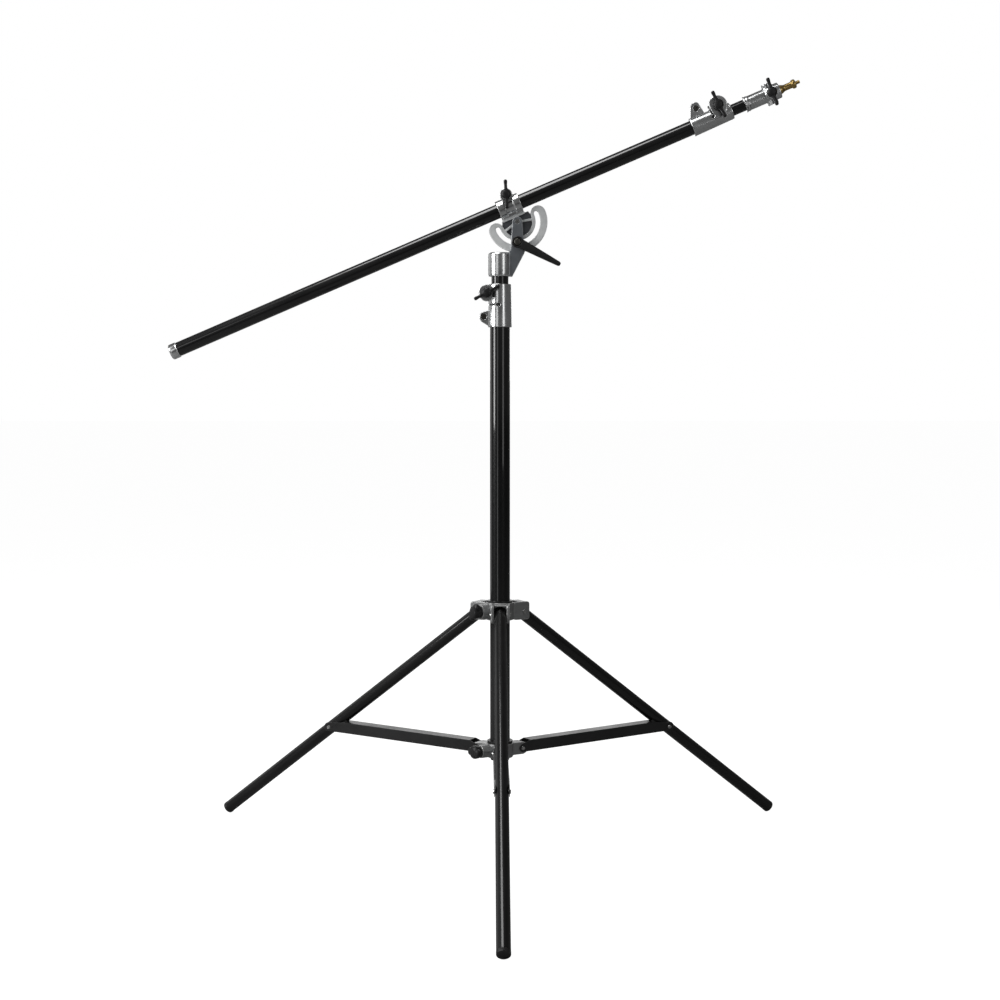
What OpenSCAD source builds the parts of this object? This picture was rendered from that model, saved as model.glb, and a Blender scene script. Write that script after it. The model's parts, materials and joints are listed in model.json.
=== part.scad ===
// Combi boom light stand: folding tripod, column with one riser, tilt head and telescopic boom.
// Millimetres. The origin is on the floor under the column's axis, +Z is up and one leg points to -Y.
// Every turned part is drawn along its own axis and then placed by one of the "at" modules.

/* [Column] */
// Outer diameter of the column tube
column_d = 35; // [34:0.5:36]
// Outer diameter of the riser that slides in the column
riser_d = 30; // [29:0.5:31]
// Wall of the column, riser and leg tubes
tube_wall = 1.5; // [1.2:0.1:1.8]
// Height of the column head casting's lower edge above the floor
casting_z = 932; // [925:1:960]
// Gap between the column head casting and the tilt cap
riser_show = 13.2; // [5:0.1:400]

/* [Legs] */
// Outer diameter of a leg tube
leg_d = 22; // [21:0.5:22]
// Length of a leg from its top pivot to the end of its foot
leg_length = 707; // [695:1:709]
// Angle of the open legs below the horizontal
leg_slope = 36.65; // [34:0.05:38]
// Distance along the leg from its top pivot to the brace rivet
leg_to_rivet = 399; // [392:0.5:402]
// Rise of the open brace towards the leg
brace_rise = 1.25; // [0.5:0.05:3]
// Radius of the circle that the collars' pivots are on
pivot_r = 40.5; // [40:0.5:44]

/* [Tilt head] */
// Distance of the tilt pivot from the column's axis
pivot_x = 30; // [28:0.5:32]
// Height of the tilt pivot above the top of the tilt cap
pivot_rise = 52.8; // [52.6:0.1:58]
// Distance of the boom's axis from the tilt pivot
boom_offset = 30; // [29:0.5:32]
// Angle of the boom above the horizontal
boom_tilt = 23.2; // [0:0.1:55]
// Outer radius of the tilt quadrant
quadrant_r = 52.5; // [50:0.5:52.5]
// Radius of the quadrant's slot, at its middle
slot_r = 36; // [35:0.5:38]

/* [Boom] */
// Outer diameter of the boom tube
boom_d = 25; // [24.5:0.5:26]
// Outer diameter of the extension tube
ext_d = 20; // [19.5:0.5:21]
// Distance from the tilt head to the boom's tail end
boom_tail = 646; // [500:1:800]
// Distance from the tilt head to the boom end casting
boom_reach = 342; // [200:1:600]
// Length of extension tube that shows between the casting and the spigot holder
ext_show = 24; // [20:1:400]

/* [Knobs] */
// Length of a T-knob's bar
knob_bar = 50; // [40:1:56]
// Turn of each knob's bar about its own stud: upper collar, lower collar, column, clamp, boom, spigot
knob_turns = [50, 0, -61.5, -20, 5, -2];

/* [Hidden] */
$fn = 48;
// radial clearance of a running fit
run = 0.05;
// overlap that joins two solids of one piece
lap = 0.5;
leg_turns = [-90, 30, 150];

// leg linkage, worked out from the slope: heights of both pivots, the rivet's place and the brace's length
foot_r = leg_d / 2 + 0.2;
upper_z = leg_length * sin(leg_slope) + foot_r * cos(leg_slope);
rivet_x = pivot_r + leg_to_rivet * cos(leg_slope);
rivet_z = upper_z - leg_to_rivet * sin(leg_slope);
brace_len = (rivet_x - pivot_r) / cos(brace_rise);
lower_z = rivet_z - brace_len * sin(brace_rise);

// pins, rivets and the sheet of the braces
pin_r = 3;
pin_head_r = 3.75;
pin_head_h = 1.8;
sheet = 1.2;
brace_w = 25;
brace_h = 20;
brace_low = 7;
web_cut_out = 35.5;
web_cut_in = 16;

// collars
liner_r = column_d / 2 + 1.5;
hub_r = 24;
ear_t = 5;
ear_in = leg_d / 2 + 0.3;
boss_seat = 41;

// column head casting and the tube ends in it
column_low = 174;
casting_h = 75;
column_casting_r = 20.9;
column_knob_z = 59.5;
column_knob_x = 23;
column_boss_r = 14;
column_lug = 14.7;
lug_z = 18.5;
socket_h = 37;
riser_low = 204;
cap_r = 20.5;
cap_h = 41.5;
cap_z = casting_z + casting_h + riser_show;
pivot_z = cap_z + cap_h + pivot_rise;

// tilt head: the fork's cheeks run beside the quadrant's hub
hub_w = 16;
cheek_in = hub_w / 2 + 0.1;
cheek_t = 5;
cheek_out = cheek_in + cheek_t;
bolt_r = 4;
clamp_r = 17;
lock_z = pivot_z - slot_r;
lever_len = 84;
lever_down = 28;
lobe_r = 13;
knob_w = 50;

// boom casting, extension and spigot
boom_casting_h = 75;
boom_casting_r = 16.2;
boom_knob_z = 55;
boom_knob_x = 17;
boom_boss_r = 16.5;
boom_lug = 21;
boom_socket_h = 38;
ext_low = -480;
holder_s = boom_reach + boom_casting_h + ext_show;
holder_len = 66;
waist_r = 5.6;
block_s = 48;
spigot_r = 7.95;
thread_r = 3.175;

// knob seats: distance of each knob's seat from the middle of its tube
casting_seat = 15;
clamp_seat = 13;
holder_seat = 20;
// the collars' wing knobs: length of the grip and height over the seat
wing_bar = 36;
wing_h = 17;
knob_names = ["upper_collar", "lower_collar", "column", "clamp", "boom", "spigot"];

// ---- places ----

// leg frame: +X outwards, origin on the column's axis
module at_leg(i) { rotate([0, 0, leg_turns[i]]) children(); }

// along a leg: +Z runs down the leg from its top pivot
module along_leg(i) { at_leg(i) translate([pivot_r, 0, upper_z]) rotate([0, 90 + leg_slope, 0]) children(); }

// brace frame: +X along the brace from its inner pivot, +Z square to it
module at_brace(i) { at_leg(i) translate([pivot_r, 0, lower_z]) rotate([0, -brace_rise, 0]) children(); }

// boom frame: origin at the tilt pivot, +X along the boom, +Z from the pivot to the boom's axis
module at_tilt() { translate([pivot_x, 0, pivot_z]) rotate([0, -boom_tilt, 0]) children(); }

// along the boom: +Z runs out along the boom's axis and -X is its upper side
module along_boom() { at_tilt() translate([0, 0, boom_offset]) rotate([0, 90, 0]) children(); }

// knob frame on an upright tube: +Z outwards from the seat at a turn and a height
module at_seat(turn, z, seat) { rotate([0, 0, turn]) translate([seat, 0, z]) rotate([0, 90, 0]) children(); }

// knob frames in the order of knob_names
module at_knob(i) {
    if (i == 0) at_seat(210, upper_z + 3, boss_seat) children();
    if (i == 1) at_seat(210, lower_z, boss_seat) children();
    if (i == 2) translate([-column_knob_x, -casting_seat, casting_z + column_knob_z]) rotate([90, 0, 0])
        children();
    if (i == 3) at_tilt() translate([0, -clamp_seat, knob_w]) rotate([90, 0, 0]) children();
    if (i == 4) at_tilt() translate([boom_reach + boom_knob_z, -casting_seat, boom_offset + boom_knob_x])
        rotate([90, 0, 0]) children();
    if (i == 5) along_boom() at_seat(270, holder_s + block_s, holder_seat) children();
}

// ---- shapes ----

module pipe(d, wall, from, to) {
    translate([0, 0, from]) difference() {
        cylinder(h = to - from, d = d);
        translate([0, 0, -1]) cylinder(h = to - from + 2, d = d - 2 * wall);
    }
}

// rod along Y, from one side to the other
module cross_rod(r, from, to) { translate([0, from, 0]) rotate([-90, 0, 0]) cylinder(h = to - from, r = r); }

// headed pin along Y: the shank between the heads is "half" long each way
module cross_pin(r, half) {
    cross_rod(r, -half - lap, half + lap);
    for (s = [-1, 1]) scale([1, s, 1]) translate([0, half, 0]) rotate([-90, 0, 0])
        cylinder(h = pin_head_h, r1 = pin_head_r, r2 = pin_head_r - 1);
}

// flat plate in the XZ plane, from one Y to the other
module plate(from, to) { translate([0, to, 0]) rotate([90, 0, 0]) linear_extrude(to - from) children(); }

// rectangle with round corners
module round_rect(x0, z0, x1, z1, r) {
    translate([x0 + r, z0]) square([x1 - x0 - 2 * r, z1 - z0]);
    translate([x0, z0 + r]) square([x1 - x0, z1 - z0 - 2 * r]);
    for (x = [x0 + r, x1 - r], z = [z0 + r, z1 - r]) translate([x, z]) circle(r);
}

// ring sector that opens to -Y, reaching "half" degrees to each side
module sector(r_in, r_out, half) {
    difference() {
        circle(r_out, $fn = 96);
        circle(r_in, $fn = 96);
        polygon(concat([[0, 0]], [for (a = [-90 + half : (360 - 2 * half) / 8 : 270.01 - half])
            2 * r_out * [cos(a), sin(a)]]));
    }
}

// T-knob body with its stud's hole, +Z outwards from the seat
module t_knob() {
    color([0.05, 0.05, 0.055]) difference() {
        union() {
            translate([0, 0, 0.2]) cylinder(h = 6, r1 = 8, r2 = 9);
            translate([0, 0, 6]) cylinder(h = 8, r = 9);
            translate([0, 0, 5.6]) linear_extrude(9.4) {
                square([7, knob_bar - 7], center = true);
                for (s = [-1, 1]) translate([0, s * (knob_bar / 2 - 3.5)]) circle(3.5);
            }
        }
        translate([0, 0, -1]) cylinder(h = 11, r = pin_r);
    }
}

// wing knob of the collars: a thick waisted grip with round ends
module wing_knob() {
    color([0.05, 0.05, 0.055]) difference() {
        union() {
            translate([0, 0, 0.2]) cylinder(h = 6, r1 = 10, r2 = 11.5);
            translate([0, 0, 5]) linear_extrude(wing_h - 5) {
                circle(12);
                square([15, wing_bar - 15], center = true);
                for (s = [-1, 1]) translate([0, s * (wing_bar / 2 - 7.5)]) circle(7.5);
            }
        }
        translate([0, 0, -1]) cylinder(h = 11, r = pin_r);
    }
}

// stud: a threaded rod from the knob's inside to its tip under the seat
module stud(reach) { color([0.6, 0.6, 0.62]) translate([0, 0, -reach]) cylinder(h = reach + 10, r = pin_r); }

// ---- column and collars ----

module base_tube() {
    color([0.03, 0.03, 0.035]) pipe(column_d, tube_wall, column_low, casting_z + socket_h);
}

module base_end_plug() {
    color([0.06, 0.06, 0.06]) {
        translate([0, 0, column_low - 6]) cylinder(h = 6, r1 = column_d / 2 - 1.2, r2 = column_d / 2 + 0.3);
        translate([0, 0, column_low - lap]) cylinder(h = 12 + lap, d = column_d - 2 * tube_wall);
    }
}

// solid boss for a knob, from the hub to the knob's seat
module collar_boss(z, r) { at_seat(210, z, boss_seat) translate([0, 0, -20]) cylinder(h = 20, r = r); }

module knob_hole(turn, z, seat, depth) {
    at_seat(turn, z, seat) translate([0, 0, -depth]) cylinder(h = depth + 1, r = pin_r + run);
}

module lower_collar() {
    low = lower_z - 13;
    color([0.52, 0.52, 0.53]) difference() {
        union() {
            translate([0, 0, low]) cylinder(h = 25, r = hub_r - 1);
            collar_boss(lower_z, 11.5);
            for (i = [0 : 2]) at_leg(i) plate(-leg_d / 2, leg_d / 2) {
                translate([liner_r, lower_z - 11]) square([pivot_r - liner_r, 22]);
                translate([pivot_r, lower_z]) circle(11);
            }
        }
        translate([0, 0, low - 1]) cylinder(h = 40, r = liner_r);
        for (i = [0 : 2]) at_leg(i) {
            translate([pivot_r, 0, lower_z]) cross_rod(pin_r, -20, 20);
            translate([hub_r + 2, -6, lower_z - 20]) cube([40, 12, 15]);
        }
        knob_hole(210, lower_z, boss_seat, 24);
    }
}

module lower_collar_liner() {
    color([0.04, 0.04, 0.04]) difference() {
        union() {
            translate([0, 0, column_low + 0.5]) cylinder(h = lower_z + 15 - column_low, r = liner_r);
            translate([0, 0, lower_z + 12]) cylinder(h = 5, r = hub_r - 1.6);
        }
        translate([0, 0, lower_z - 20]) cylinder(h = 50, d = column_d);
        knob_hole(210, lower_z, boss_seat, 24);
    }
}

module upper_collar() {
    low = upper_z - 13;
    color([0.55, 0.55, 0.56]) difference() {
        union() {
            translate([0, 0, low]) cylinder(h = 31, r = hub_r);
            collar_boss(upper_z + 3, 13);
            for (i = [0 : 2]) at_leg(i) {
                for (s = [-1, 1]) scale([1, s, 1]) plate(ear_in, ear_in + ear_t)
                    round_rect(liner_r, upper_z - 14, pivot_r + 11, upper_z + 18, 5);
                translate([pivot_r - 8, -ear_in - lap, upper_z + 15.2]) cube([14, 2 * (ear_in + lap), 2.8]);
            }
        }
        translate([0, 0, low - 5]) cylinder(h = 50, r = liner_r);
        for (i = [0 : 2]) at_leg(i) translate([pivot_r, 0, upper_z]) cross_rod(pin_r, -20, 20);
        knob_hole(210, upper_z + 3, boss_seat, 24);
    }
}

module upper_collar_liner() {
    color([0.04, 0.04, 0.04]) difference() {
        union() {
            translate([0, 0, upper_z - 13]) cylinder(h = 34, r = liner_r);
            translate([0, 0, upper_z + 18]) cylinder(h = 3, r = hub_r - 1.6);
        }
        translate([0, 0, upper_z - 20]) cylinder(h = 50, d = column_d + 2 * run);
        knob_hole(210, upper_z + 3, boss_seat, 24);
    }
}

// ---- legs and braces ----

module leg(i) {
    color([0.035, 0.035, 0.04]) difference() {
        along_leg(i) pipe(leg_d, tube_wall, -10, leg_length - 7);
        for (t = [0, leg_to_rivet]) along_leg(i) translate([0, 0, t]) cross_rod(pin_r + run, -20, 20);
    }
}

module leg_foot(i) {
    color([0.05, 0.05, 0.05]) along_leg(i) {
        translate([0, 0, leg_length - 7]) cylinder(h = 7, r = foot_r);
        translate([0, 0, leg_length - 27]) cylinder(h = 20 + lap, d = leg_d - 2 * tube_wall);
    }
}

module leg_top_pins() {
    color([0.7, 0.7, 0.7]) for (i = [0 : 2]) at_leg(i) translate([pivot_r, 0, upper_z])
        cross_pin(pin_r, ear_in + ear_t);
}

// side of the pressed channel: round at both pivots, full height between them
module brace_side() {
    end_r = 9.5;
    difference() {
        union() {
            circle(brace_low);
            translate([brace_len, 0]) circle(end_r);
            polygon([[0, -brace_low], [brace_len, -brace_low], [brace_len + 3, end_r - 1],
                [brace_len - web_cut_out, brace_h - brace_low], [web_cut_in, brace_h - brace_low],
                [-2, brace_low - 0.4]]);
        }
        for (x = [0, brace_len]) translate([x, 0]) circle(pin_r + run);
        translate([-50, -50 - brace_low]) square([brace_len + 100, 50]);
    }
}

module brace(i) {
    color([0.16, 0.16, 0.17]) at_brace(i) {
        for (s = [-1, 1]) scale([1, s, 1]) plate(brace_w / 2 - sheet, brace_w / 2) brace_side();
        translate([web_cut_in, -brace_w / 2 + lap, brace_h - brace_low - sheet])
            cube([brace_len - web_cut_out - web_cut_in, brace_w - 2 * lap, sheet]);
    }
}

module brace_inner_pins() {
    color([0.7, 0.7, 0.7]) for (i = [0 : 2]) at_brace(i) cross_pin(pin_r, brace_w / 2 + run);
}

module brace_rivet(i) {
    color([0.7, 0.7, 0.7]) at_brace(i) translate([brace_len, 0, 0]) cross_pin(pin_r, brace_w / 2);
}

// ---- clamp castings ----

// tapered casting that grips a tube below and clamps the sliding tube above.
// On -X it has two split lugs: a small one closed by a screw and a round one closed by the T-knob.
module casting(d_low, d_high, h, socket, r_low, r_high, knob_z, knob_x, round_r, lug) {
    lug_x = r_low + lug / 2;
    slit = 2.2;
    difference() {
        union() {
            cylinder(h = h, r1 = r_low, r2 = r_high);
            translate([-knob_x, 0, knob_z]) cross_rod(round_r, -casting_seat, casting_seat);
            plate(-12, 12) polygon([[1.5 - r_low, 2], [-r_low - 0.8 * lug, 10], [-r_low - lug, 14.5],
                [-r_low - lug, 22], [-r_low - 0.86 * lug, 25.5], [1.5 - r_low, 28.8]]);
        }
        translate([0, 0, -1]) cylinder(h = socket + 1, d = d_low);
        cylinder(h = h + 1, d = d_high + 2 * run);
        // the saw cut between the two lugs, with a drilled end, and the slit that splits them
        translate([-60, -60, socket + 1]) cube([57.5, 60, slit]);
        translate([-2.5, 0, socket + 1 + slit / 2]) cross_rod(2.8, -60, -d_high / 2 + 2);
        translate([-60, -slit / 2, -1]) cube([60 - d_high / 2 + 1, slit, h + 2]);
        // the clamp screw's hole, its head's counterbore and its nut's pocket
        translate([-lug_x, 0, lug_z]) {
            cross_rod(2.6, -30, 30);
            cross_rod(5, -30, -7.5);
            translate([0, 8, 0]) rotate([-90, 0, 0]) cylinder(h = 20, r = 4.8, $fn = 6);
        }
        translate([-knob_x, 0, knob_z]) cross_rod(pin_r + run, -30, 30);
    }
}

// socket-head screw that closes the lug
module clamp_screw(x) {
    translate([-x, 0, lug_z]) difference() {
        union() { cross_rod(2.5, -8, 11.5); cross_rod(4.5, -11.5, -7.5); }
        translate([0, -12.5, 0]) rotate([-90, 0, 0]) cylinder(h = 3.5, r = 2.3, $fn = 6);
    }
}

module clamp_nut(x) {
    translate([-x, 8, lug_z]) rotate([-90, 0, 0]) difference() {
        cylinder(h = 4, r = 4.6, $fn = 6);
        translate([0, 0, -1]) cylinder(h = 6, r = 2.5);
    }
}

module column_casting() {
    color([0.78, 0.78, 0.79]) translate([0, 0, casting_z])
        casting(column_d, riser_d, casting_h, socket_h, column_casting_r, 19.6, column_knob_z, column_knob_x,
            column_boss_r, column_lug);
}
module column_clamp_screw() {
    color([0.4, 0.4, 0.42]) translate([0, 0, casting_z]) clamp_screw(column_casting_r + column_lug / 2);
}
module column_clamp_nut() {
    color([0.6, 0.6, 0.6]) translate([0, 0, casting_z]) clamp_nut(column_casting_r + column_lug / 2);
}

module boom_casting() {
    color([0.72, 0.72, 0.73]) along_boom() translate([0, 0, boom_reach])
        casting(boom_d, ext_d, boom_casting_h, boom_socket_h, boom_casting_r, 14.8, boom_knob_z, boom_knob_x,
            boom_boss_r, boom_lug);
}
module boom_clamp_screw() {
    color([0.4, 0.4, 0.42]) along_boom() translate([0, 0, boom_reach])
        clamp_screw(boom_casting_r + boom_lug / 2);
}
module boom_clamp_nut() {
    color([0.6, 0.6, 0.6]) along_boom() translate([0, 0, boom_reach])
        clamp_nut(boom_casting_r + boom_lug / 2);
}

// ---- riser and tilt head ----

module riser_tube() { color([0.03, 0.03, 0.035]) pipe(riser_d, tube_wall, riser_low, cap_z + cap_h - 4); }

// guide bush on the riser's foot: the riser turns in it and rests on its lip
module riser_bush() {
    color([0.85, 0.85, 0.82]) difference() {
        translate([0, 0, riser_low - 4]) cylinder(h = 40, d = column_d - 2 * tube_wall - 2 * run);
        translate([0, 0, riser_low]) cylinder(h = 40, d = riser_d + 2 * run);
        translate([0, 0, riser_low - 5]) cylinder(h = 10, d = riser_d - 4);
    }
}

module tilt_cap() {
    color([0.8, 0.8, 0.81]) translate([0, 0, cap_z]) difference() {
        union() {
            cylinder(h = 1.5, r1 = cap_r - 1.5, r2 = cap_r);
            translate([0, 0, 1.5]) cylinder(h = cap_h - 3.5, r = cap_r);
            translate([0, 0, cap_h - 2]) cylinder(h = 2, r1 = cap_r, r2 = cap_r - 2);
        }
        translate([0, 0, -1]) cylinder(h = cap_h - 3, d = riser_d);
        for (turn = [120, 240]) rotate([0, 0, turn]) translate([riser_d / 2 - 2, 0, 20]) rotate([0, 90, 0])
            cylinder(h = 20, r = 2.5 + run);
    }
}

module cap_screws() {
    color([0.35, 0.35, 0.36]) for (turn = [120, 240]) rotate([0, 0, turn])
        translate([riser_d / 2, 0, cap_z + 20]) rotate([0, 90, 0]) difference() {
            cylinder(h = 4.8, r = 2.5);
            translate([0, 0, 2.5]) cylinder(h = 5, r = 1.3, $fn = 6);
        }
}

// side of the fork: round over the pivot, wider at the lock, with a gusset down to the cap
module fork_side() {
    top_r = 8.5;
    translate([pivot_x, pivot_z]) circle(top_r);
    polygon([[pivot_x - top_r, pivot_z], [pivot_x + top_r, pivot_z], [pivot_x + 11, lock_z],
        [pivot_x + 13, cap_z + cap_h], [cap_r + 1, cap_z], [pivot_x - 16, cap_z],
        [pivot_x - 16, cap_z + cap_h], [pivot_x - 11.5, cap_z + cap_h + 4], [pivot_x - 11, lock_z]]);
}

module tilt_arm() {
    color([0.2, 0.2, 0.21]) difference() {
        union() {
            for (s = [-1, 1]) scale([1, s, 1]) plate(cheek_in, cheek_out) fork_side();
            intersection() {
                plate(-cheek_in - lap, cheek_in + lap) fork_side();
                translate([0, -30, cap_z - 1]) cube([80, 60, cap_h]);
            }
        }
        translate([0, 0, cap_z - 5]) cylinder(h = cap_h + 5, r = cap_r);
        translate([pivot_x, 0, pivot_z]) cross_rod(bolt_r, -30, 30);
        translate([pivot_x, 0, lock_z]) cross_rod(bolt_r + run, -30, 30);
    }
}

// bolt whose end is flush with the fork, with a hexagon socket
module pivot_bolt() {
    color([0.45, 0.42, 0.36]) translate([pivot_x, 0, pivot_z]) difference() {
        cross_rod(bolt_r, -cheek_out, cheek_out + 9);
        translate([0, -cheek_out - 1, 0]) rotate([-90, 0, 0]) cylinder(h = 4, r = 2.2, $fn = 6);
    }
}

module pivot_nut() {
    color([0.6, 0.6, 0.6]) translate([pivot_x, cheek_out, pivot_z]) rotate([-90, 0, 0]) difference() {
        union() { cylinder(h = 1.2, r = 8); cylinder(h = 7.5, r = 7.2, $fn = 6); }
        translate([0, 0, -1]) cylinder(h = 10, r = bolt_r);
    }
}

// outline of the quadrant: a half disc with round ends
module quadrant_outline() {
    sector(0, quadrant_r, 90);
    for (s = [-1, 1]) translate([s * (quadrant_r - lobe_r - 0.2), 0]) circle(lobe_r);
}

// curved slot for the lock stud; its round ends are a little narrower than the slot
module quadrant_slot() {
    slot_half = bolt_r + 0.1;
    sector(slot_r - slot_half, slot_r + slot_half, 92);
    for (s = [-1, 1]) rotate(s * 92) translate([0, -slot_r]) circle(slot_half - 0.2);
}

// cast quadrant: a thick slotted band round a thin web, with a hub, two ribs and a bar under the clamp
module tilt_quadrant() {
    rib_r = 26;
    bar_z = 8;
    color([0.6, 0.6, 0.6]) at_tilt() difference() {
        union() {
            plate(-5, 5) difference() { quadrant_outline(); circle(rib_r); }
            plate(-2, 2) intersection() {
                circle(rib_r + lap);
                translate([-rib_r - 1, -rib_r - 1]) square([2 * rib_r + 2, rib_r + 1 + bar_z + 2]);
            }
            plate(-hub_w / 2, hub_w / 2) circle(8);
            for (s = [-1, 1]) plate(-5, 5) rotate(-90 + s * 76) translate([8, -2]) square([rib_r - 7, 4]);
            plate(-5.5, 5.5) translate([-23, bar_z]) square([41, 5]);
        }
        plate(-10, 10) quadrant_slot();
        cross_rod(bolt_r + run, -20, 20);
    }
}

// split ring on the quadrant, with ears that the T-knob closes above the boom
module boom_clamp() {
    color([0.76, 0.76, 0.77]) at_tilt() difference() {
        union() {
            for (u = [-23, 6]) translate([u, 0, boom_offset]) rotate([0, 90, 0]) cylinder(h = 12, r = clamp_r);
            translate([-22, 0, boom_offset]) rotate([0, 90, 0]) cylinder(h = 39, r = clamp_r - 2.4);
            translate([-20, -7.5, 13]) cube([36, 15, 9]);
            plate(-clamp_seat, clamp_seat) {
                translate([-10.6, boom_offset + 8]) square([21.2, knob_w - boom_offset - 8]);
                translate([0, knob_w]) circle(11);
            }
        }
        translate([-40, 0, boom_offset]) rotate([0, 90, 0]) cylinder(h = 80, d = boom_d + 2 * run);
        translate([-40, -1, boom_offset]) cube([80, 2, 60]);
        translate([0, 0, knob_w]) cross_rod(pin_r + run, -20, 20);
    }
}

module lock_lever() {
    seat = cheek_out + 0.1;
    color([0.06, 0.06, 0.065]) translate([pivot_x, 0, lock_z]) difference() {
        union() {
            cross_rod(10.5, -seat - 14, -seat);
            rotate([0, lever_down, 0]) plate(-seat - 15, -seat - 7) {
                polygon([[0, -8.5], [0, 8.5], [lever_len - 3.75, 3.75], [lever_len - 3.75, -3.75]]);
                translate([lever_len - 3.75, 0]) circle(3.75);
            }
        }
        cross_rod(bolt_r, -seat - 10, -seat + 1);
        cross_rod(2, -seat - 20, -seat - 9);
        cross_rod(6, -seat - 20, -seat - 12.5);
    }
}

module lock_stud() {
    seat = cheek_out + 0.1;
    color([0.6, 0.6, 0.6]) translate([pivot_x, 0, lock_z]) difference() {
        union() {
            cross_rod(bolt_r, -seat - 10, cheek_out + 4);
            translate([0, cheek_out + 0.1, 0]) rotate([-90, 0, 0]) cylinder(h = 6, r = 7.2, $fn = 6);
        }
        cross_rod(2, -seat - 20, -seat - 2);
    }
}

module lever_screw() {
    seat = cheek_out + 0.1;
    color([0.5, 0.5, 0.5]) translate([pivot_x, 0, lock_z]) difference() {
        union() { cross_rod(2, -seat - 14, -seat - 3); cross_rod(5.6, -seat - 15.5, -seat - 12.5); }
        translate([0, -seat - 17, 0]) rotate([-90, 0, 0]) cylinder(h = 3.5, r = 2, $fn = 6);
    }
}

// ---- boom ----

module boom_tube() {
    color([0.03, 0.03, 0.035]) along_boom() pipe(boom_d, tube_wall, -boom_tail + 3, boom_reach + boom_socket_h);
}

// polished end sleeve with a closed end
module boom_tail_sleeve() {
    color([0.8, 0.8, 0.8]) along_boom() {
        pipe(boom_d + 2.4, 1.2, -boom_tail + 2, -boom_tail + 15);
        translate([0, 0, -boom_tail]) cylinder(h = 3, r1 = boom_d / 2, r2 = boom_d / 2 + 1.2);
    }
}

module extension_tube() {
    color([0.03, 0.03, 0.035]) along_boom() pipe(ext_d, tube_wall, ext_low, holder_s);
}

module extension_bush() {
    color([0.85, 0.85, 0.82]) along_boom()
        pipe(boom_d - 2 * tube_wall - 2 * run, 1 - run, ext_low, ext_low + 30);
}

// spigot socket: plug in the extension, ringed collar, body, cross block for the knob and end ring
module spigot_holder() {
    bore_s = 20;
    ring_s = 56;
    body_r = 12.7;
    color([0.74, 0.74, 0.75]) along_boom() translate([0, 0, holder_s]) difference() {
        union() {
            translate([0, 0, -24]) cylinder(h = 24 + lap, d = ext_d - 2 * tube_wall);
            cylinder(h = 3, r = body_r + 1.3);
            translate([0, 0, 5]) cylinder(h = 2.5, r = body_r + 0.8);
            translate([0, 0, 2]) cylinder(h = ring_s - 1, r = body_r);
            translate([0, 0, ring_s]) cylinder(h = holder_len - ring_s, r = body_r + 1.3);
            translate([-19, 0, block_s]) rotate([0, 90, 0]) cylinder(h = 38, r = 9.5);
            at_seat(270, block_s, holder_seat) translate([0, 0, -14]) cylinder(h = 14, r = 9);
        }
        translate([0, 0, bore_s]) cylinder(h = holder_len, r = spigot_r + run);
        at_seat(270, block_s, holder_seat) translate([0, 0, -14]) cylinder(h = 15, r = pin_r + run);
    }
}

// 16 mm spigot: shank in the holder, then a taper, waist, shoulder and thread
module spigot() {
    taper_s = holder_len + 4;
    shoulder_s = holder_len + 24;
    color([0.78, 0.6, 0.25]) along_boom() translate([0, 0, holder_s]) {
        translate([0, 0, 21]) cylinder(h = taper_s - 21, r = spigot_r);
        translate([0, 0, taper_s]) cylinder(h = 4, r1 = spigot_r, r2 = waist_r);
        translate([0, 0, taper_s + 3]) cylinder(h = shoulder_s - taper_s - 2, r = waist_r);
        translate([0, 0, shoulder_s]) cylinder(h = 6, r = spigot_r);
        translate([0, 0, shoulder_s + 5]) cylinder(h = 9, r = thread_r);
    }
}

// ---- knobs ----

module knob(i) { at_knob(i) rotate([0, 0, knob_turns[i]]) { if (i < 2) wing_knob(); else t_knob(); } }

// a stud ends just short of the tube that it presses on, or runs through both jaws that it closes
function stud_reach(i) = [boss_seat - column_d / 2 - 0.5, boss_seat - column_d / 2 - 0.5,
    2 * casting_seat + 3, 2 * clamp_seat + 3, 2 * casting_seat + 3, holder_seat - spigot_r - 0.5][i];

module knob_stud(i) { at_knob(i) stud(stud_reach(i)); }

base_tube();
base_end_plug();
lower_collar();
lower_collar_liner();
upper_collar();
upper_collar_liner();
for (i = [0 : 2]) {
    leg(i);
    leg_foot(i);
    brace(i);
    brace_rivet(i);
}
leg_top_pins();
brace_inner_pins();
column_casting();
column_clamp_screw();
column_clamp_nut();
riser_tube();
riser_bush();
tilt_cap();
tilt_arm();
cap_screws();
pivot_bolt();
pivot_nut();
tilt_quadrant();
boom_clamp();
lock_lever();
lock_stud();
lever_screw();
boom_tube();
boom_tail_sleeve();
boom_casting();
boom_clamp_screw();
boom_clamp_nut();
extension_tube();
extension_bush();
spigot_holder();
spigot();
for (i = [0 : 5]) {
    knob(i);
    knob_stud(i);
}
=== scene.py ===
"""Looks of the boom light stand: materials, detailed pieces, floor, lights and camera.

Lengths are in metres, in the CAD model's own frame.
"""
import json
import math

import bpy
import bmesh
from mathutils import Matrix, Vector


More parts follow.
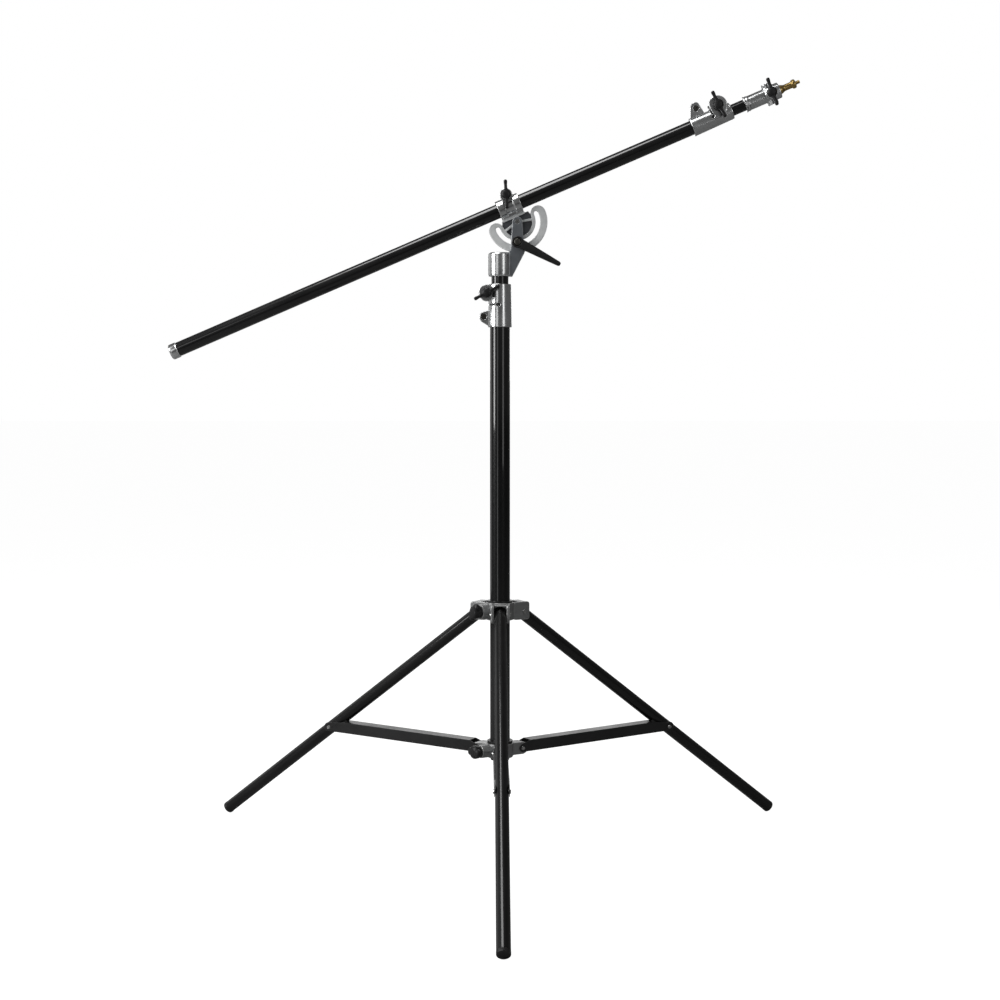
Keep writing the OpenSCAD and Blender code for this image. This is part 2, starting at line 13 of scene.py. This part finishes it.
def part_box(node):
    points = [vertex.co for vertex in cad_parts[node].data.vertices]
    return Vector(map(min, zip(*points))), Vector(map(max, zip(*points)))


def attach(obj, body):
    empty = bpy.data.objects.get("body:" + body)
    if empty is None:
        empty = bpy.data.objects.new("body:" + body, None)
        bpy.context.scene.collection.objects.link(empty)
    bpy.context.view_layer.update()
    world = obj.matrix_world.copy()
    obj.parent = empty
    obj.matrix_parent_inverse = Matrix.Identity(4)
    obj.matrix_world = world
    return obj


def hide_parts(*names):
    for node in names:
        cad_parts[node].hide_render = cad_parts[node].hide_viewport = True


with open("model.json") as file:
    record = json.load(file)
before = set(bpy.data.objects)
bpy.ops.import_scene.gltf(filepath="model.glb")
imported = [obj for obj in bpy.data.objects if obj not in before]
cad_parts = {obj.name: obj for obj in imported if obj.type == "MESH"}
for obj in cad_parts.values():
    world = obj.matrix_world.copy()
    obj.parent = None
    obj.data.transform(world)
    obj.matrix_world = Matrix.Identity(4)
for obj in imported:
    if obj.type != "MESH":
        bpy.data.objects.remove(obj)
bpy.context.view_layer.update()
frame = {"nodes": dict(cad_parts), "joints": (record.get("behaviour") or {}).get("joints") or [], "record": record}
NODES = frame["nodes"]
JOINTS = {joint["name"]: joint for joint in frame["joints"]}

SLOT_OF = {part["node"]: part["material_slot"] for part in frame["record"]["subparts"]}
BODIES = frame["record"]["behaviour"]["bodies"]
BODY_OF = {node: body for body, nodes in BODIES.items() for node in nodes}

MM = 0.001
UP = Vector((0, 0, 1))

# castings: skin grain in millimetres and how often their corners are smoothed
CASTINGS = {
    "column_casting": (0.6, 12), "boom_casting": (0.6, 12), "spigot_holder": (0.55, 10),
    "boom_clamp": (0.55, 8), "upper_collar": (0.8, 4), "lower_collar": (0.8, 4),
    "tilt_quadrant": (0.7, 3), "tilt_arm": (0.8, 3),
}


# ---------------------------------------------------------------- camera

def make_camera():
    """Camera in front of the stand, above half its height, looking slightly down."""
    distance, height = 3.212, 0.851
    down, round_z = 3.945, -0.49
    data = bpy.data.cameras.new("camera")
    data.lens = 65.9
    data.sensor_width = 36
    data.clip_end = 50
    camera = bpy.data.objects.new("camera", data)
    bpy.context.scene.collection.objects.link(camera)
    turn = math.radians(round_z)
    camera.location = (distance * math.sin(turn), -distance * math.cos(turn), height)
    camera.rotation_euler = (math.radians(90 - down), 0, turn)
    bpy.context.scene.camera = camera


# ---------------------------------------------------------------- node helpers

class Graph:
    """Short calls for building one material's nodes."""

    def __init__(self, name):
        self.material = bpy.data.materials.new(name)
        self.material.use_nodes = True
        self.nodes = self.material.node_tree.nodes
        self.links = self.material.node_tree.links
        self.nodes.clear()
        self.output = self.nodes.new("ShaderNodeOutputMaterial")
        self.shader = self.nodes.new("ShaderNodeBsdfPrincipled")
        self.links.new(self.shader.outputs[0], self.output.inputs[0])

    def set(self, **values):
        """Sets constant sockets on the shader, such as Metallic=1.0."""
        for key, value in values.items():
            self.shader.inputs[key.replace("_", " ")].default_value = value

    def link(self, source, target):
        self.links.new(source, target)

    def place(self):
        """Object coordinates, which move with the piece."""
        return self.nodes.new("ShaderNodeTexCoord").outputs["Object"]

    def noise(self, scale, detail=4.0, rough=0.55):
        """Noise value of a grain size."""
        noise = self.nodes.new("ShaderNodeTexNoise")
        noise.inputs["Scale"].default_value = scale
        noise.inputs["Detail"].default_value = detail
        noise.inputs["Roughness"].default_value = rough
        self.link(self.place(), noise.inputs["Vector"])
        return noise.outputs["Fac"]

    def spread(self, value, low_in, high_in, low_out, high_out):
        """Maps a value's range to another one, clamped."""
        node = self.nodes.new("ShaderNodeMapRange")
        node.inputs["From Min"].default_value = low_in
        node.inputs["From Max"].default_value = high_in
        node.inputs["To Min"].default_value = low_out
        node.inputs["To Max"].default_value = high_out
        self.link(value, node.inputs["Value"])
        return node.outputs["Result"]

    def blend(self, factor, colour_a, colour_b):
        """Mix of two colours by a value; a colour is a tuple or a socket."""
        node = self.nodes.new("ShaderNodeMix")
        node.data_type = "RGBA"
        self.link(factor, node.inputs[0])
        for socket, colour in ((node.inputs[6], colour_a), (node.inputs[7], colour_b)):
            if isinstance(colour, tuple):
                socket.default_value = (*colour, 1)
            else:
                self.link(colour, socket)
        return node.outputs[2]

    def worn_edges(self, radius, start, full):
        """1 on sharp edges, 0 on flat faces, from how far the bevelled normal leaves the true one."""
        bevel = self.nodes.new("ShaderNodeBevel")
        bevel.samples = 4
        bevel.inputs["Radius"].default_value = radius
        geometry = self.nodes.new("ShaderNodeNewGeometry")
        dot = self.nodes.new("ShaderNodeVectorMath")
        dot.operation = "DOT_PRODUCT"
        self.link(bevel.outputs[0], dot.inputs[0])
        self.link(geometry.outputs["Normal"], dot.inputs[1])
        return self.spread(dot.outputs["Value"], 1.0 - start, 1.0 - full, 0.0, 1.0)

    def rims(self):
        """1 on the convex rims of a finely meshed casting, 0 on its flats and hollows; it marks where rubbed wear
        and a painted highlight go.
        """
        point = self.nodes.new("ShaderNodeNewGeometry").outputs["Pointiness"]
        flat, rim = 0.515, 0.56
        return self.spread(point, flat, rim, 0.0, 1.0)

    def slab(self, half):
        """1 within a distance of the object's XZ plane, 0 outside it."""
        split = self.nodes.new("ShaderNodeSeparateXYZ")
        self.link(self.place(), split.inputs[0])
        size = self.nodes.new("ShaderNodeMath")
        size.operation = "ABSOLUTE"
        self.link(split.outputs["Y"], size.inputs[0])
        return self.spread(size.outputs[0], half, half * 1.25, 1.0, 0.0)

    def bump(self, height, strength, distance):
        node = self.nodes.new("ShaderNodeBump")
        node.inputs["Strength"].default_value = strength
        node.inputs["Distance"].default_value = distance
        self.link(height, node.inputs["Height"])
        self.link(node.outputs[0], self.shader.inputs["Normal"])

    def colour(self, socket):
        self.link(socket, self.shader.inputs["Base Color"])

    def rough(self, socket):
        self.link(socket, self.shader.inputs["Roughness"])


# ---------------------------------------------------------------- materials

def coated_tube(name, colour, coat, rough_low, rough_high):
    """Black coated tube: a clear gloss over faint smears, and a slightly uneven coat."""
    g = Graph(name)
    g.set(Metallic=0.0, Coat_Weight=coat, Coat_Roughness=0.05, Coat_IOR=1.5, Specular_IOR_Level=0.2)
    smears = g.noise(9, 5, 0.6)
    lighter = tuple(c * 2 + 0.0015 for c in colour)
    g.colour(g.blend(g.spread(smears, 0.42, 0.72, 0, 1), colour, lighter))
    g.rough(g.spread(smears, 0.3, 0.75, rough_low, rough_high))
    g.bump(g.noise(70, 3, 0.5), 0.02, 0.0002)
    return g.material


def pressed_sheet():
    """Dark grey satin paint on pressed steel, with a little orange peel and rubbed edges."""
    g = Graph("pressed_sheet")
    g.set(Metallic=0.0, Specular_IOR_Level=0.55)
    cloud = g.noise(14, 4)
    peel = g.noise(420, 2)
    base = g.blend(g.spread(cloud, 0.35, 0.7, 0, 1), (0.008, 0.008, 0.0083),
                   (0.013, 0.013, 0.0134))
    g.colour(g.blend(g.worn_edges(0.0008, 0.04, 0.5), base, (0.07, 0.07, 0.07)))
    g.rough(g.spread(cloud, 0.3, 0.7, 0.3, 0.44))
    g.bump(peel, 0.06, 0.0003)
    return g.material


def cast_metal(name, colour, metallic, rough_low, rough_high, grain, grain_strength, rim_wear_and_highlight_colour,
               web_painted_shade_colour=None):
    """Cast alloy: clouded, finely grained, its rims coloured bright as rubbed wear and as a painted highlight,
    and, if asked, its web coloured dark as painted shade.
    """
    g = Graph(name)
    g.set(Metallic=metallic)
    cloud = g.noise(38, 5, 0.6)
    dark = tuple(c * 0.84 for c in colour)
    body = g.blend(g.spread(cloud, 0.35, 0.68, 0, 1), dark, colour)
    if web_painted_shade_colour:
        # painted shade: the thin recessed web near the object's XZ plane is coloured dark where shade falls
        # between the ribs
        body = g.blend(g.slab(0.0033), body, web_painted_shade_colour)
    # rims: rubbed bare metal and a painted highlight where the edges catch the lamps
    g.colour(g.blend(g.rims(), body, rim_wear_and_highlight_colour))
    g.rough(g.spread(cloud, 0.32, 0.7, rough_low, rough_high))
    g.bump(g.noise(grain, 3, 0.6), grain_strength, 0.0003)
    return g.material


def moulded_plastic(name, colour, rough_low, rough_high, grain):
    """Black moulded plastic: fine spark-eroded grain, paler where hands rub the edges."""
    g = Graph(name)
    g.set(Metallic=0.0, Specular_IOR_Level=0.45)
    cloud = g.noise(45, 3)
    eroded = g.noise(grain, 2, 0.7)
    paler = tuple(c * 2.6 + 0.01 for c in colour)
    g.colour(g.blend(g.worn_edges(0.0009, 0.05, 0.5), colour, paler))
    g.rough(g.spread(cloud, 0.3, 0.7, rough_low, rough_high))
    g.bump(eroded, 0.1, 0.0003)
    return g.material


def turned_metal(name, colour, rough_low, rough_high):
    """Turned or plated metal: a fine machined grain and a light tarnish."""
    g = Graph(name)
    g.set(Metallic=1.0)
    tarnish = g.noise(60, 4, 0.6)
    fine = g.noise(900, 2, 0.5)
    dark = tuple(c * 0.6 for c in colour)
    g.colour(g.blend(g.spread(tarnish, 0.35, 0.75, 0, 1), colour, dark))
    g.rough(g.spread(tarnish, 0.3, 0.7, rough_low, rough_high))
    g.bump(fine, 0.08, 0.0002)
    return g.material


def make_materials():
    """One material for each of the record's slots."""
    return {
        "black_gloss": coated_tube("black_gloss", (0.0018, 0.0018, 0.002), 1.0, 0.3, 0.42),
        "leg_black": coated_tube("leg_black", (0.003, 0.003, 0.0031), 0.55, 0.34, 0.46),
        "brace_grey": pressed_sheet(),
        # each cast metal's colour after its grain strength is its rims' colour: rubbed wear and a painted
        # highlight
        "collar_grey": cast_metal("collar_grey", (0.3, 0.305, 0.305), 0.45, 0.34, 0.48, 420, 0.12,
                                  (0.75, 0.75, 0.74)),
        "bright_casting": cast_metal("bright_casting", (0.8, 0.81, 0.81), 1.0, 0.19, 0.28, 90, 0.015,
                                     (0.93, 0.93, 0.93)),
        # the quadrant's last colour is painted shade on its recessed web
        "quadrant_grey": cast_metal("quadrant_grey", (0.86, 0.88, 0.88), 0.15, 0.34, 0.46, 420, 0.1,
                                    (0.93, 0.94, 0.94), (0.1, 0.105, 0.115)),
        "arm_grey": cast_metal("arm_grey", (0.21, 0.225, 0.245), 0.4, 0.32, 0.44, 420, 0.08,
                               (0.7, 0.72, 0.74)),
        "black_plastic": moulded_plastic("black_plastic", (0.011, 0.011, 0.0115), 0.34, 0.48, 700),
        "white_plastic": moulded_plastic("white_plastic", (0.6, 0.6, 0.57), 0.4, 0.5, 500),
        "steel": turned_metal("steel", (0.62, 0.62, 0.61), 0.2, 0.34),
        "dark_screw": turned_metal("dark_screw", (0.16, 0.155, 0.14), 0.28, 0.4),
        "brass": turned_metal("brass", (0.62, 0.43, 0.16), 0.2, 0.34),
    }


def paint_nodes(materials):
    """Gives each CAD node its slot's material."""
    for name, node in NODES.items():
        node.data.materials.clear()
        node.data.materials.append(materials[SLOT_OF[name]])


# ---------------------------------------------------------------- shape helpers

def frame_at(origin, z_axis, x_axis):
    """Matrix of a place whose +Z and +X are given."""
    z = Vector(z_axis).normalized()
    x = Vector(x_axis)
    x = (x - z * z.dot(x)).normalized()
    place = Matrix((x, z.cross(x), z)).transposed().to_4x4()
    place.translation = origin
    return place


def mean_place(node):
    """Mean of a node's vertices."""
    vertices = NODES[node].data.vertices
    return sum((v.co for v in vertices), Vector()) / len(vertices)


def node_span(node, place):
    """Lowest and highest corner of a node in a place's own axes."""
    inverse = place.inverted()
    points = [inverse @ v.co for v in NODES[node].data.vertices]
    return (Vector([min(p[k] for p in points) for k in range(3)]),
            Vector([max(p[k] for p in points) for k in range(3)]))


def boom_place():
    """Place on the boom's axis beside the tilt pivot: +Z runs out along it and -X is its upper side."""
    out = Vector(JOINTS["boom_slide"]["axis"]).normalized()
    pivot = Vector(JOINTS["boom_tilt"]["pos_m"])
    middle = mean_place("boom_tube")
    return frame_at(middle - out * out.dot(middle - pivot), out, -UP)


def knob_place(knob):
    """Place on a knob's seat: +Z outwards along its stud and +Y along its bar."""
    joint = JOINTS[f"{knob}_turn"]
    origin, out = Vector(joint["pos_m"]), Vector(joint["axis"]).normalized()
    side = out.orthogonal().normalized()
    across = out.cross(side)
    offsets = [v.co - origin for v in NODES[knob].data.vertices]
    points = [offset.dot(side) + 1j * offset.dot(across) for offset in offsets]
    spread = sum(p * p for p in points)
    half_turn = math.atan2(spread.imag, spread.real) / 2
    bar = side * math.cos(half_turn) + across * math.sin(half_turn)
    return frame_at(origin, out, bar.cross(out))


def new_mesh(build):
    """Mesh filled in by a function that gets a bmesh."""
    bm = bmesh.new()
    build(bm)
    bmesh.ops.recalc_face_normals(bm, faces=bm.faces)
    mesh = bpy.data.meshes.new("mesh")
    bm.to_mesh(mesh)
    bm.free()
    for face in mesh.polygons:
        face.use_smooth = True
    return mesh


def rounded(profile, radius, steps=3):
    """Profile of (radius, height) points with its inner corners rounded."""
    points = [Vector(p) for p in profile]
    result = [points[0]]
    for before, corner, after in zip(points, points[1:], points[2:]):
        back, ahead = before - corner, after - corner
        cut = min(radius, back.length / 2.2, ahead.length / 2.2)
        start, end = corner + back.normalized() * cut, corner + ahead.normalized() * cut
        for k in range(steps + 1):
            t = k / steps
            result.append(start * (1 - t) ** 2 + corner * (2 * t * (1 - t)) + end * t ** 2)
    return result + [points[-1]]


def turn_profile(bm, profile, place, around=72):
    """Adds a turned solid about the place's Z; the profile is in millimetres, from axis to axis."""
    rings = []
    for radius, height in profile:
        if radius < 1e-6:
            rings.append([bm.verts.new(place @ Vector((0, 0, height * MM)))])
            continue
        ring = []
        for k in range(around):
            angle = 2 * math.pi * k / around
            point = Vector((radius * MM * math.cos(angle), radius * MM * math.sin(angle), height * MM))
            ring.append(bm.verts.new(place @ point))
        rings.append(ring)
    for low, high in zip(rings, rings[1:]):
        for k in range(around):
            after = (k + 1) % around
            if len(low) == 1:
                bm.faces.new((low[0], high[k], high[after]))
            elif len(high) == 1:
                bm.faces.new((low[k], low[after], high[0]))
            else:
                bm.faces.new((low[k], low[after], high[after], high[k]))


def loft(bm, sections, place):
    """Adds a closed bar through rounded-box sections (x, y, z, half width on X, half height on Z)."""
    around, power = 20, 3.0
    rings = []
    for x, y, z, half_x, half_z in sections:
        ring = []
        for k in range(around):
            angle = 2 * math.pi * k / around
            c, s = math.cos(angle), math.sin(angle)
            point = Vector((x + half_x * math.copysign(abs(c) ** (2 / power), c), y,
                            z + half_z * math.copysign(abs(s) ** (2 / power), s)))
            ring.append(bm.verts.new(place @ (point * MM)))
        rings.append(ring)
    for low, high in zip(rings, rings[1:]):
        for k in range(around):
            bm.faces.new((low[k], low[(k + 1) % around], high[(k + 1) % around], high[k]))
    bm.faces.new(rings[0])
    bm.faces.new(rings[-1])


def bake(piece):
    """Writes a piece's modifiers into its mesh, which keeps its material."""
    bpy.context.view_layer.update()
    depsgraph = bpy.context.evaluated_depsgraph_get()
    material = piece.data.materials[0]
    mesh = bpy.data.meshes.new_from_object(piece.evaluated_get(depsgraph))
    mesh.materials.clear()
    mesh.materials.append(material)
    piece.modifiers.clear()
    piece.data = mesh


def blend_solids(piece, voxel, passes):
    """Joins a piece's overlapping solids into one skin and rounds its corners as a casting's are."""
    remesh = piece.modifiers.new("skin", "REMESH")
    remesh.mode = "VOXEL"
    remesh.voxel_size = voxel * MM
    remesh.use_smooth_shade = True
    smooth = piece.modifiers.new("fillets", "SMOOTH")
    smooth.factor = 0.5
    smooth.iterations = passes
    bake(piece)


def show(name, mesh, node):
    """New piece that stands for a CAD node: it rides on the node's body and takes its slot."""
    piece = bpy.data.objects.new(name, mesh)
    bpy.context.scene.collection.objects.link(piece)
    mesh.materials.clear()
    mesh.materials.append(materials[SLOT_OF[node]])
    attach(piece, BODY_OF[node])
    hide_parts(node)
    return piece


def cast_piece(node, voxel, passes):
    """Casting grown from a node's solid, with rounded corners everywhere."""
    def build(bm):
        bm.from_mesh(NODES[node].data)
        bmesh.ops.remove_doubles(bm, verts=bm.verts, dist=1e-6)

    blend_solids(show(f"{node}_cast", new_mesh(build), node), voxel, passes)


# ---------------------------------------------------------------- pieces

def make_knob(node):
    """T-knob: a turned hub with a domed top and two waisted blades that lean outwards."""
    place = knob_place(node)
    corner = node_span(node, place)[1]
    reach, top = corner.y / MM, corner.z / MM

    def build(bm):
        hub = [(0, 0.3), (7.4, 0.3), (8.2, 1.2), (8.9, 6.5), (8.9, 10.5), (7.6, 13.2),
               (4.4, top - 0.4), (0, top - 0.1)]
        turn_profile(bm, rounded(hub, 1.2), place, 48)
        for side in (-1, 1):
            blade = [(0, 2, 8.4, 4.2, 5.4), (0, 7, 8.6, 3.7, 5.2), (0, 12, 9.4, 2.7, 4.4),
                     (0, 17, 10.2, 2.7, 4.0), (0, reach - 4.5, 10.8, 3.2, 3.9),
                     (0, reach - 1.6, 11, 3.1, 3.6), (0, reach - 0.1, 11, 1.6, 2.2)]
            loft(bm, [(x, side * y, z, half_x, half_z) for x, y, z, half_x, half_z in blade], place)

    blend_solids(show(f"{node}_body", new_mesh(build), node), 0.55, 5)


def make_wing_knob(node):
    """Wing knob of a collar: a thick waisted grip with round ends on a turned foot."""
    place = knob_place(node)
    corner = node_span(node, place)[1]
    reach, top = corner.y / MM, corner.z / MM

    def build(bm):
        hub = [(0, 0.3), (9.6, 0.3), (10.6, 1.4), (11.6, 7), (11.8, top - 5), (9.8, top - 1.2),
               (5, top - 0.2), (0, top)]
        turn_profile(bm, rounded(hub, 1.5), place, 48)
        for side in (-1, 1):
            grip = [(0, 1, 10.6, 9.5, 5.8), (0, 5, 10.7, 8.4, 5.6), (0, reach - 9, 10.9, 6.6, 5.4),
                    (0, reach - 5.5, 11, 7, 5.3), (0, reach - 2.2, 11, 5.8, 4.6),
                    (0, reach - 0.2, 11, 2.8, 2.6)]
            loft(bm, [(x, side * y, z, half_x, half_z) for x, y, z, half_x, half_z in grip], place)

    blend_solids(show(f"{node}_grip", new_mesh(build), node), 0.6, 7)


def make_lever():
    """Lock lever: a turned hub with a rolled lip, a tapering arm, and a domed screw head in the lip."""
    joint = JOINTS["lock_lever_turn"]
    origin, out = Vector(joint["pos_m"]), Vector(joint["axis"]).normalized()
    arm = mean_place("lock_lever") - origin
    arm = (arm - out * out.dot(arm)).normalized()
    place = frame_at(origin, out, arm.cross(out))
    low, high = node_span("lock_lever", place)
    start, reach, face = low.z / MM, high.y / MM, high.z / MM
    middle = face - 4

    def build(bm):
        hub = [(0, start + 0.1), (8.6, start + 0.1), (9.9, start + 1.6), (10.2, face - 5),
               (10.1, face - 1.4),
               (8.6, face - 0.1), (7, face - 0.4), (6.5, face - 2.6), (0, face - 2.6)]
        turn_profile(bm, rounded(hub, 1.0), place, 64)
        sections = [(0, 7, middle, 8.3, 3.7), (0, 18, middle, 7.9, 3.7), (0, 40, middle, 6.7, 3.5),
                    (0, 62, middle, 5.4, 3.3), (0, reach - 7, middle, 4.4, 3.1),
                    (0, reach - 2.4, middle, 4, 2.8), (0, reach - 0.2, middle, 2.3, 1.6)]
        loft(bm, sections, place)

    blend_solids(show("lock_lever_cast", new_mesh(build), "lock_lever"), 0.55, 4)
    dome = [(0, start + 2), (1.9, start + 2), (1.9, face - 3.2), (5.8, face - 3.2), (5.8, face - 0.6),
            (5.2, face + 0.1),
            (3, face + 0.5), (0, face + 0.6)]
    mesh = new_mesh(lambda bm: turn_profile(bm, rounded(dome, 1.2), place, 48))
    show("lever_screw_dome", mesh, "lever_screw")


def make_cap():
    """Tilt cap: a turned barrel with a chamfered top, a small step at its foot and fine radii."""
    low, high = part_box("tilt_cap")
    bottom, top = low[2] / MM, high[2] / MM
    outer = (high[1] - low[1]) / 2 / MM
    bore = 15.05
    profile = [(0, top - 3.5), (bore, top - 3.5), (bore, bottom), (outer - 1.4, bottom),
               (outer - 0.5, bottom + 1.2), (outer - 0.5, bottom + 2.4), (outer, bottom + 2.9),
               (outer, top - 2.6), (outer - 2.2, top - 0.3), (outer - 3, top), (0, top)]
    mesh = new_mesh(lambda bm: turn_profile(bm, rounded(profile, 0.5), Matrix(), 96))
    show("tilt_cap_barrel", mesh, "tilt_cap")


def make_spigot():
    """Brass spigot: taper, waist between two fillets, chamfered shoulder, and a grooved tip."""
    place = boom_place()
    low, high = node_span("spigot", place)
    start, end = low.z / MM, high.z / MM
    shoulder = end - 14
    taper = shoulder - 20
    r, waist, tip = 7.95, 5.6, 3.17
    profile = [(0, start), (r - 0.6, start), (r, start + 0.8), (r, taper - 0.5), (r - 0.3, taper),
               (waist + 0.3, taper + 4.2), (waist, taper + 5.5), (waist, shoulder - 2),
               (waist + 0.7, shoulder - 0.7), (r - 0.7, shoulder), (r, shoulder + 0.7),
               (r, shoulder + 5), (r - 0.9, shoulder + 6), (tip + 0.2, shoulder + 6)]
    step = 0.8
    height = shoulder + 6.3
    while height < end - 1.2:
        profile += [(tip - 0.35, height), (tip, height + step / 2)]
        height += step
    profile += [(tip, end - 0.7), (tip - 0.7, end), (0, end)]
    mesh = new_mesh(lambda bm: turn_profile(bm, rounded(profile, 0.25, 2), place, 64))
    show("spigot_turned", mesh, "spigot")


def make_tail_sleeve():
    """Polished end sleeve with a rolled rim and a domed closed end."""
    place = boom_place()
    low, high = node_span("boom_tail_sleeve", place)
    start, end = low.z / MM, high.z / MM
    outer = high.y / MM
    tube = 12.5
    profile = [(0, start), (outer - 3, start + 0.2), (outer - 0.5, start + 1.6), (outer, start + 3.4),
               (outer, end - 2.2),
               (outer - 0.35, end - 1.6), (outer, end - 1), (outer - 0.3, end), (tube, end),
               (tube, start + 3), (0, start + 3)]
    mesh = new_mesh(lambda bm: turn_profile(bm, rounded(profile, 0.5), place))
    show("tail_sleeve_turned", mesh, "boom_tail_sleeve")


def make_feet():
    """Leg feet: moulded plugs with a rounded tread and two shallow grooves."""
    inner = 9.4
    for number in (1, 2, 3):
        node = f"leg_foot_{number}"
        leg = mean_place(f"leg_{number}")
        down = (mean_place(node) - leg).normalized()
        place = frame_at(leg, down, UP)
        low, high = node_span(node, place)
        start, end, outer = low.z / MM, high.z / MM, high.y / MM
        collar = end - 7
        groove = outer - 0.5
        profile = [(0, start), (inner, start), (inner, collar), (groove, collar), (outer, collar + 0.6),
                   (outer, collar + 1.8), (groove, collar + 2.2), (outer, collar + 2.6),
                   (outer, collar + 3.6), (groove, collar + 4), (outer, collar + 4.4),
                   (outer - 0.2, end - 1), (outer - 1.4, end), (0, end)]
        mesh = new_mesh(lambda bm: turn_profile(bm, rounded(profile, 0.3, 2), place))
        show(f"leg_{number}_foot_plug", mesh, node)


def soften(node, width):
    """Small rounded edges on a CAD node that stays."""
    weld = NODES[node].modifiers.new("weld", "WELD")
    weld.merge_threshold = 1e-6
    bevel = NODES[node].modifiers.new("edges", "BEVEL")
    bevel.width = width * MM
    bevel.segments = 2
    bevel.limit_method = "ANGLE"
    bevel.angle_limit = math.radians(40)
    bevel.harden_normals = True


def make_pieces():
    """Every detailed piece that stands for a CAD node."""
    for node in NODES:
        if node.endswith("_collar") and node.startswith("knob_"):
            make_wing_knob(node)
        elif node.startswith("knob_"):
            make_knob(node)
    make_cap()
    make_spigot()
    make_tail_sleeve()
    make_feet()
    make_lever()
    for node, (voxel, passes) in CASTINGS.items():
        cast_piece(node, voxel, passes)
    for number in (1, 2, 3):
        soften(f"brace_{number}", 0.35)


# ---------------------------------------------------------------- studio

def make_floor():
    """Plain pale floor: white to the camera, and dimmer than that to the object's reflections."""
    mesh = bpy.data.meshes.new("floor")
    half = 30
    corners = [(-half, -half, 0), (half, -half, 0), (half, half, 0), (-half, half, 0)]
    mesh.from_pydata(corners, [], [(0, 1, 2, 3)])
    floor = bpy.data.objects.new("floor", mesh)
    bpy.context.scene.collection.objects.link(floor)
    g = Graph("floor")
    g.set(Roughness=0.9, Specular_IOR_Level=0.1, Emission_Color=(1, 1, 1, 1))
    g.colour(g.blend(g.noise(3, 3), (0.28, 0.28, 0.28), (0.32, 0.32, 0.32)))
    seen = g.nodes.new("ShaderNodeLightPath").outputs["Is Camera Ray"]
    g.link(g.spread(seen, 0, 1, 0, 0.95), g.shader.inputs["Emission Strength"])
    mesh.materials.append(g.material)


def soft_box(name, at, aim, size, radiance):
    """Area light of a given size whose face has a given brightness."""
    data = bpy.data.lights.new(name, "AREA")
    data.shape = "RECTANGLE"
    data.size, data.size_y = size
    data.energy = radiance * math.pi * size[0] * size[1]
    light = bpy.data.objects.new(name, data)
    light.location = at
    light.visible_camera = False
    light.rotation_euler = (Vector(aim) - Vector(at)).to_track_quat("-Z", "Y").to_euler()
    bpy.context.scene.collection.objects.link(light)


def make_world():
    """White behind the object for the camera, and a dim room for its reflections."""
    world = bpy.data.worlds.new("world")
    bpy.context.scene.world = world
    world.use_nodes = True
    nodes, links = world.node_tree.nodes, world.node_tree.links
    room = nodes["Background"]
    room.inputs[0].default_value = (1, 1, 1, 1)
    room.inputs[1].default_value = 0.11
    white = nodes.new("ShaderNodeBackground")
    white.inputs[1].default_value = 1.0
    white.inputs[0].default_value = (1, 1, 1, 1)
    path = nodes.new("ShaderNodeLightPath")
    mix = nodes.new("ShaderNodeMixShader")
    links.new(path.outputs["Is Camera Ray"], mix.inputs[0])
    links.new(room.outputs[0], mix.inputs[1])
    links.new(white.outputs[0], mix.inputs[2])
    links.new(mix.outputs[0], nodes["World Output"].inputs[0])


def make_lights():
    """Soft boxes that give the tubes and castings their long highlights."""
    soft_box("key_left", (-2.6, -1.0, 1.75), (0, 0, 1.2), (0.9, 2.2), 9)
    soft_box("side_back_left", (-2.4, 1.6, 1.2), (0, 0, 0.9), (1.6, 2.2), 0.45)
    soft_box("fill_left", (-1.6, -2.9, 1.1), (0, 0, 0.8), (0.6, 2.4), 1.2)
    soft_box("fill_right", (2.0, -2.8, 1.6), (0, 0, 1.1), (0.9, 2.2), 1.5)
    soft_box("back", (0.3, 3.3, 1.7), (0, 0, 0.9), (2.6, 1.8), 1.6)
    soft_box("top", (-0.75, -0.5, 3.3), (-0.2, -0.1, 0), (1.35, 1.0), 7.5)
    bpy.context.scene.view_settings.view_transform = "Standard"


make_camera()
materials = make_materials()
paint_nodes(materials)
make_pieces()
make_floor()
make_world()
make_lights()
